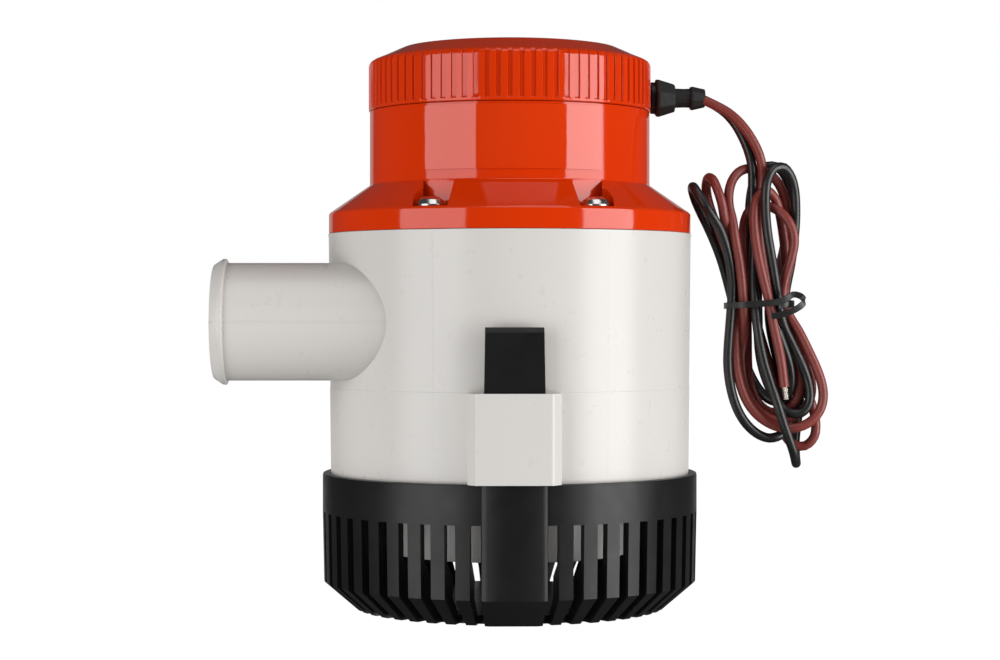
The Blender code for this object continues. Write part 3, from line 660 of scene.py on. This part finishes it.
CAP_R, CAP_LOW, CAP_TOP = 49.6, 173.6, 196.5
GRIP_PITCH = 4.5
SCREW_ANGLES = (-118.8, -61.2, 61.2, 118.8)
SCREW_CIRCLE = 56.4


def grip_profile(sunk):
    """The cap's section, with its band sunk where a groove runs."""
    outer = CAP_R - sunk
    return [
        (0.0, CAP_TOP), (20.0, CAP_TOP - 0.15), (36.6, CAP_TOP - 0.65), (38.2, CAP_TOP - 0.9), (39.0, CAP_TOP - 1.25),
        (47.2, 191.6), (48.0, 191.3), (48.9 - sunk, 190.7 + 0.45 * sunk), (49.4 - sunk, 190.0 + 0.6 * sunk),
        (outer, 189.2), (outer, 182.0), (outer, 175.2), (CAP_R - sunk * 0.8, 174.9), (CAP_R, 174.6),
        (CAP_R, CAP_LOW + 0.3), (CAP_R - 0.3, CAP_LOW), (47.0, CAP_LOW), (47.0, 188.0), (37.0, 192.6), (0.0, 193.7),
    ]


def add_cap():
    """The cap, with a narrow rounded-off groove between the ridges of its grip."""
    columns = []
    ridge, groove, mouth = grip_profile(0.0), grip_profile(0.62), grip_profile(0.14)
    for n in range(round(360 / GRIP_PITCH)):
        start = n * GRIP_PITCH
        for offset, profile in (
            (0.0, ridge), (1.15, ridge), (2.22, ridge), (2.34, mouth), (2.46, groove), (3.4, groove),
            (4.26, groove), (4.38, mouth),
        ):
            columns.append(ring_points(profile, start + offset))
    work = lofted(columns)[0]
    finish_mesh("motor_cap_shell", work, ORANGE, "pump", ("motor_cap",), 30)


def pocket_outline(side, end):
    """A screw's notch in the cone seen from above: it runs from the housing's wall straight out to the cone's foot,
    and is wider on the outer side of the screw."""
    points = [(x, -math.sqrt(49.3**2 - x * x)) for x in (-29.9, -27.3, -24.6, -22.0, -19.5)]
    for n in range(6):
        turn = math.atan2(-58.8, -21.8) + n * (math.atan2(-53.1, -33.2) - math.atan2(-58.8, -21.8)) / 5
        points.append((62.72 * math.cos(turn), 62.72 * math.sin(turn)))
    points += [(-33.2, -48.4), (-32.6, -45.8), (-31.6, -44.3), (-29.9, -43.2)]
    points = [(side * x, end * y) for x, y in points]
    return points if side * end > 0 else points[::-1]


def add_housing():
    """The orange housing: a wall, a cone with a notch at each screw, and a rim that stands on the body."""
    section = rounded([
        (46.6, 177.4, 0.2), (46.6, 171.6), (48.4, 171.6), (48.4, 173.4), (49.2, 173.4, 0.25), (49.2, 147.6, 0.7),
        (62.9, 138.1, 0.8), (63.55, 137.4, 0.5), (63.55, 130.65, 0.35), (51.2, 130.65), (51.2, 124.8), (44.0, 124.8),
        (44.0, 135.0), (46.6, 138.0), (46.6, 165.0), (44.0, 168.0), (44.0, 177.4),
    ])
    shell = finish_mesh("motor_housing_shell", turned(section, 180), ORANGE, None, None, 30)
    pockets = [(side, end) for side in (1, -1) for end in (1, -1)]
    carved(shell, [
        ("DIFFERENCE", helper(f"pocket_{n}", prism(pocket_outline(*pocket), 137.95, 152.0)))
        for n, pocket in enumerate(pockets)
    ])
    soften(shell, 0.22, 30)
    settle(shell, "pump", ("motor_housing",))


def add_screws():
    """Cross-recessed pan heads on their shanks, each one turned as it happened to be tightened."""
    for n, angle in enumerate(SCREW_ANGLES, 1):
        profile = rounded([
            (0.0, 141.7), (2.2, 141.5, 0.8), (4.0, 140.5, 0.9), (4.95, 138.9, 0.35), (4.95, 138.3, 0.15),
            (2.0, 138.3), (2.0, 127.0), (0.0, 125.6),
        ])
        screw = finish_mesh(f"pan_screw_{n}", turned(profile, 48), STAINLESS, None, None, 40)
        turn = math.radians(angle)
        arms = []
        for cross in (0, 90):
            work = bmesh.new()
            size = Matrix.Diagonal((4.4, 0.95, 4.0, 1))
            spin = Matrix.Rotation(math.radians(cross + 20 + 31 * n), 4, "Z")
            bmesh.ops.create_cube(work, size=1.0, matrix=Matrix.Translation((0, 0, 142.6)) @ spin @ size)
            arms.append(("DIFFERENCE", helper(f"cross_{n}_{cross}", work)))
        carved(screw, arms)
        out = SCREW_CIRCLE * MM
        screw.data.transform(Matrix.Translation((out * math.cos(turn), out * math.sin(turn), 0)))
        settle(screw, "pump", (f"housing_screw_{n}",))


def add_film():
    """A thin clear sheet bent round the housing, with rounded corners. Its outline is in degrees and millimetres."""
    low, high, half, corner = 151.0, 172.5, 37.0, 1.2

    def ring(radius, outline):
        """The points of an outline of (degrees from the front, height) bent to a radius."""
        return [
            work.verts.new((radius * math.sin(math.radians(a)), -radius * math.cos(math.radians(a)), z))
            for a, z in outline
        ]

    outline = rounded([(-half, low, corner), (half, low, corner), (half, high, corner), (-half, high, corner)], 6)
    # straight runs get more points, so that they bend round the housing
    full = []
    for n, here in enumerate(outline):
        there = outline[(n + 1) % len(outline)]
        count = max(1, round(abs(there[0] - here[0]) / 2))
        for k in range(count):
            full.append((here[0] + (there[0] - here[0]) * k / count, here[1] + (there[1] - here[1]) * k / count))
    work = bmesh.new()
    middle_z = (low + high) / 2
    layers = []
    for radius in (49.3, 49.62):
        layers.append((ring(radius, full), ring(radius, [(a, middle_z) for a, _ in full])))
    for (rim, spine), flip in zip(layers, (True, False)):
        for n in range(len(full)):
            m = (n + 1) % len(full)
            if rim[n].co == rim[m].co:
                continue
            face = [rim[n], rim[m], spine[m], spine[n]]
            work.faces.new(face[::-1] if flip else face)
    for n in range(len(full)):
        m = (n + 1) % len(full)
        work.faces.new((layers[0][0][n], layers[0][0][m], layers[1][0][m], layers[1][0][n]))
    finish_mesh("rating_film_sheet", work, FILM, "pump", ("rating_film",), 40)


# White body, outlet and inlet skirt

BODY_LOW, BODY_TOP = 44.0, 130.3
SEAMS, SEAM_STEP = (-24.7, 29.5), 0.09  # degrees from the front
SPIGOT_Y, SPIGOT_Z = -27.2, 100.0


def body_profile(extra):
    """The shell's section. The mould's halves meet with a small step, given by extra and by the line at z 77."""
    low, top = 62.7, 63.6
    slope = (top - low) / (BODY_TOP - BODY_LOW)

    def wall_radius(z):
        return low + slope * (z - BODY_LOW)

    return rounded([
        (top + 0.25 + extra, BODY_TOP + 0.25, 0.25), (top + extra, BODY_TOP - 1.2),
        (wall_radius(77.1) + extra, 77.1), (wall_radius(77.0) + 0.10 + extra, 76.95),
        (low + 0.1 + extra, BODY_LOW, 0.3), (60.0, BODY_LOW), (60.4, 76.4), (26.8, 76.4), (26.8, 79.4),
        (60.4, 79.4), (60.9, 125.0), (51.5, 125.0), (51.5, BODY_TOP, 0.3),
    ])


def boss_solid(turn):
    """A block on the body that holds a latch, with its outer edges rounded."""
    outline = rounded([
        (-12.5, -69.0, 2.0), (12.5, -69.0, 2.0), (15.3, -65.6, 2.0), (15.3, -59.8), (0, -61.2), (-15.3, -59.8),
        (-15.3, -65.6, 2.0),
    ], 6)
    work = prism(outline, 47.25, 76.9)
    rim = [e for e in work.edges if all(v.co.z > 76.8 for v in e.verts) or all(v.co.z < 47.3 for v in e.verts)]
    outer = [e for e in rim if max(v.co.y for v in e.verts) < -62]
    bmesh.ops.bevel(work, geom=outer, offset=0.35, segments=3, profile=0.5, affect="EDGES")
    return helper(f"boss_{turn}", work, Matrix.Rotation(math.radians(turn), 4, "Z"))


def add_body():
    """The white shell with its mould seams, two bosses with a pocket for each latch, and the spigot's hole."""
    columns = []
    for n in range(180):
        angle = -180 + n * 2.0
        raised = SEAMS[0] < angle < SEAMS[1]
        for seam in SEAMS:
            if angle - 2.0 < seam <= angle:
                pair = (0.0, SEAM_STEP) if seam == SEAMS[0] else (SEAM_STEP, 0.0)
                for m, extra in enumerate(pair):
                    columns.append(ring_points(body_profile(extra), seam - 90 + (m - 0.5) * 0.1))
        columns.append(ring_points(body_profile(SEAM_STEP if raised else 0.0), angle - 90))
    shell = finish_mesh("pump_body_shell", lofted(columns)[0], WHITE, None, None, 32)
    steps = [("UNION", boss_solid(turn)) for turn in (0, 180)]
    for turn in (0, 180):
        work = bmesh.new()
        size = Matrix.Diagonal((20.5, 3.9, 34.0, 1))
        bmesh.ops.create_cube(work, size=1.0, matrix=Matrix.Translation((0, -65.25, 62.0)) @ size)
        steps.append(("DIFFERENCE", helper(f"pocket_{turn}", work, Matrix.Rotation(math.radians(turn), 4, "Z"))))
    hole = turned([(0, -30.0), (18.6, -30.0), (18.6, -80.0), (0, -80.0)], 96)
    steps.append(("DIFFERENCE", helper("spigot_hole", hole, along_x(SPIGOT_Y, SPIGOT_Z))))
    carved(shell, steps)
    settle(shell, "pump", ("pump_body",))


def spiral(extra, count=120):
    """The volute's wall seen from above, growing towards the outlet."""
    return [
        (
            -(37.5 + 7.1 * n / count + extra) * math.sin(math.tau * n / count),
            (37.5 + 7.1 * n / count + extra) * math.cos(math.tau * n / count),
        )
        for n in range(count)
    ]


def add_outlet():
    """The volute casing with its hose spigot, as one moulding."""
    casing = finish_mesh("outlet_casing", prism(spiral(3.0), 79.7, 120.7), WHITE, None, None, 32)
    spigot = turned(rounded([
        (0, -14.0), (20.0, -14.0), (20.0, -96.5, 0.25), (21.45, -96.75, 0.45), (21.3, -98.0, 1.2),
        (19.3, -101.0, 0.7), (0, -101.0),
    ], 5), 128)
    ridge = bmesh.new()
    for side in (-1, 1):
        size = Matrix.Diagonal((0.35, 0.5, 87.0, 1))
        place = Matrix.Translation((0, side * 19.86, -57.5)) @ size
        bmesh.ops.create_cube(ridge, size=1.0, matrix=place)
    bore = turned([(0, -8.0), (17.0, -8.0), (17.0, -100.4), (17.6, -101.1), (17.6, -104.0), (0, -104.0)], 96)
    place = along_x(SPIGOT_Y, SPIGOT_Z)
    carved(casing, [
        ("UNION", helper("spigot", spigot, place)),
        ("UNION", helper("spigot_seam", ridge, place)),
        ("DIFFERENCE", helper("chamber", prism(spiral(0.0), 78.0, 122.0))),
        ("DIFFERENCE", helper("outlet_bore", bore, place)),
    ])
    settle(casing, "pump", ("volute_casing",))


def add_skirt():
    """The white tube that lets water in at the foot of the strainer."""
    profile = rounded([
        (26.2, 83.0, 0.4), (26.2, 76.1), (46.0, 76.1, 0.3), (46.0, 73.9, 0.3), (42.4, 73.9, 0.4), (42.4, 19.3, 0.5),
        (39.8, 19.3, 0.5), (39.8, 73.9, 0.4), (24.0, 73.9, 0.8), (24.0, 83.0, 0.4),
    ])
    finish_mesh("inlet_skirt_tube", turned(profile, 128), WHITE, "pump", ("inlet_skirt",), 32)


# Black strainer

SLOT_HALF = 1.85  # half of a slot's width
SLOT_PITCH, FIRST_SLOT, SLOTS_A_QUARTER = 7.5, 11.25, 11  # degrees, counted both ways from the front and the back


def add_strainer():
    """The basket: columns of points on both sides of each slot, left open between them where the slot goes through."""
    profile = [
        (65.0, 47.2), (65.5, 47.0), (65.7, 46.4), (65.7, 35.2), (65.7, 33.9), (65.2, 9.5), (54.2, 0.0), (50.0, 0.0),
        (0.0, 0.0), (0.0, 2.8), (50.0, 2.8), (51.0, 2.8), (57.0, 9.5), (57.0, 16.5), (62.5, 21.0), (62.7, 33.9),
        (62.7, 35.2), (62.7, 40.9), (57.2, 40.9), (57.0, 41.1), (57.0, 43.4), (57.3, 43.7), (63.1, 43.7), (63.1, 46.9),
        (63.4, 47.2),
    ]
    open_rows = (4, 5, 6, 10, 11, 12, 13, 14)  # the wall's outside and inside, from a slot's top to its end

    def side_column(middle, side):
        """One straight side of a slot, parallel to the slot's middle."""
        points = []
        for r, z in profile:
            swing = math.degrees(math.asin(SLOT_HALF / r)) if r > 20 else 0.0
            points.append(ring_points([(r, z)], middle + side * swing)[0])
        return points

    slots = sorted(
        (quarter + side * (FIRST_SLOT + n * SLOT_PITCH)) % 360
        for quarter in (-90.0, 90.0) for side in (-1, 1) for n in range(SLOTS_A_QUARTER)
    )
    columns, gaps = [], []
    for n, middle in enumerate(slots):
        gaps.append(len(columns))
        columns += [side_column(middle, -1), side_column(middle, 1)]
        following = slots[(n + 1) % len(slots)] + (360 if n == len(slots) - 1 else 0)
        width = following - middle
        swing = math.degrees(math.asin(SLOT_HALF / 65.7))
        count = max(2, round((width - 2 * swing) / 1.9))
        for k in range(1, count):
            columns.append(ring_points(profile, middle + swing + (width - 2 * swing) * k / count))
    skip = {(c, r) for c in gaps for r in open_rows}
    work, grid = lofted(columns, skip=skip)
    for c in gaps:
        for column in (grid[c], grid[c + 1]):
            work.faces.new([column[r] for r in (4, 5, 6, 7, 10, 11, 12, 13, 14, 15)])
        left, right = grid[c], grid[c + 1]
        work.faces.new((left[4], right[4], right[15], left[15]))
        work.faces.new((left[7], right[7], right[10], left[10]))
    basket = finish_mesh("strainer_basket_shell", work, BLACK, None, None)
    steps = []
    for angle in (45, 135, 225, 315):
        hole = turned([(0, 4.0), (3.8, 4.0), (2.6, 1.6), (2.6, -1.0), (0, -1.0)], 32)
        place = Matrix.Rotation(math.radians(angle), 4, "Z") @ Matrix.Translation((40 * MM, 0, 0))
        steps.append(("DIFFERENCE", helper(f"fixing_hole_{angle}", hole, place)))
    carved(basket, steps)
    work = bmesh.new()
    work.from_mesh(basket.data)
    for turn in (0, 180):
        panel_solid(work, turn)
    bmesh.ops.recalc_face_normals(work, faces=work.faces)
    work.to_mesh(basket.data)
    work.free()
    shade(basket.data)
    soften(basket, 0.2, 34)
    settle(basket, "strainer", ("strainer_basket",))


def panel_solid(work, turn):
    """Adds the flat panel that carries a latch, with sloping sides and a bend at the chamfer."""
    spin = Matrix.Rotation(math.radians(turn), 3, "Z")
    rows = []
    for half, front, foot in ((10.65, -66.1, -54.6), (9.0, -67.0, -55.5)):
        rows.append([(half, front, 47.0), (half, front, 9.6), (half - 1.1, foot, 0.0)])
    back = [(10.65, -62.9, 47.0), (10.65, -58.0, 11.2), (9.5, -49.6, 0.0)]
    loops = []
    for side in (-1, 1):
        for points in (back, rows[0], rows[1]):
            loops.append([work.verts.new(spin @ Vector((side * x, y, z)) * MM) for x, y, z in points])
    order = [loops[0], loops[1], loops[2], loops[5], loops[4], loops[3]]
    for here, there in zip(order, order[1:] + order[:1]):
        for n in range(2):
            work.faces.new((here[n], here[n + 1], there[n + 1], there[n]))
    work.faces.new([loop[0] for loop in order])
    work.faces.new([loop[2] for loop in order])


def add_latch(side, turn):
    """A flat arm in the boss's pocket, with a tab that catches the boss's top edge and is pressed to let it go."""

    def half_width(z):
        """The arm is narrower than the tab, and the tab narrows towards its top."""
        return 9.95 - 0.35 * max(0.0, (z - 77.2) / 21.2) if z > 77 else 9.75

    outline = rounded([
        (-65.4, 47.6, 0.2), (-65.4, 97.6, 0.6), (-66.4, 98.4, 0.4), (-67.3, 98.4, 0.5), (-68.3, 96.6, 0.5),
        (-68.3, 77.25, 0.3), (-66.9, 77.25), (-66.9, 47.6, 0.2),
    ], 4)
    work = bmesh.new()
    ends = []
    for sign in (-1, 1):
        ends.append([work.verts.new((sign * half_width(z), y, z)) for y, z in outline])
    work.faces.new(ends[0])
    work.faces.new(ends[1][::-1])
    for n in range(len(outline)):
        m = (n + 1) % len(outline)
        work.faces.new((ends[0][n], ends[0][m], ends[1][m], ends[1][n]))
    work.transform(Matrix.Rotation(math.radians(turn), 4, "Z"))
    finish_mesh(
        f"latch_{side}_arm", work, BLACK, f"latch_{side}", (f"latch_arm_{side}",), 34, bevel=0.3,
        segments=3,
    )


# Cable gland

EXIT_Z = 178.8  # the height of the cable's line


def faceted(profile, sides, phase, name, finish, node, bevel):
    """A part of (radius, x) points turned about the cable's line with flat sides, the first one at phase degrees."""
    columns = [ring_points([(r, -x) for r, x in profile], phase + 360.0 * n / sides) for n in range(sides)]
    work = lofted(columns)[0]
    work.transform(Matrix.Rotation(-math.pi / 2, 4, "Y"))
    work.transform(Matrix.Translation((0, 0, EXIT_Z)))
    finish_mesh(name, work, finish, "pump", (node,), 24, bevel=bevel, segments=3)


def add_gland():
    """From the cap outwards: collar, cone nut, boot and the sleeve that the leads come out of."""
    for name, finish, slot, node, sides, phase, bevel, *profile in (
        ("gland_collar", BLACK, "black_plastic", "gland_bushing", 32, 0, 0.25,
         (0, 44.0), (3.7, 44.0), (3.7, 49.7), (5.6, 49.7), (5.6, 51.3), (0, 51.3)),
        ("gland_cap_nut", RUBBER, "black_plastic", "gland_nut", 8, 12, 0.45,
         (0, 51.0), (6.75, 51.4), (7.0, 52.4), (5.1, 58.2), (0, 58.6)),
        ("gland_boot_neck", RUBBER, "rubber", "gland_boot", 14, 5, 0.3,
         (0, 58.0), (3.5, 58.0), (3.35, 61.5), (3.5, 64.6), (0, 64.6)),
        ("lead_sleeve_end", RUBBER, "rubber", "lead_sleeve", 9, 16, 0.35,
         (0, 63.4), (4.15, 63.6), (4.35, 64.4), (3.3, 68.9), (0, 69.2)),
    ):
        faceted(profile, sides, phase, name, finish, node, bevel)


add_camera()
add_studio()
add_leads()
add_tie()
add_cap()
add_housing()
add_screws()
add_film()
add_body()
add_outlet()
add_skirt()
add_strainer()
add_latch("front", 0)
add_latch("back", 180)
add_gland()

# the pieces that keep their CAD shape get the finish of their slot
for node in frame["record"]["subparts"]:
    shown = NODES[node["node"]]
    finish = SLOT_FINISH[node["material_slot"]]
    if node["node"] == "commutator":
        finish = COPPER_BAR
    shown.data.materials.clear()
    shown.data.materials.append(finish)
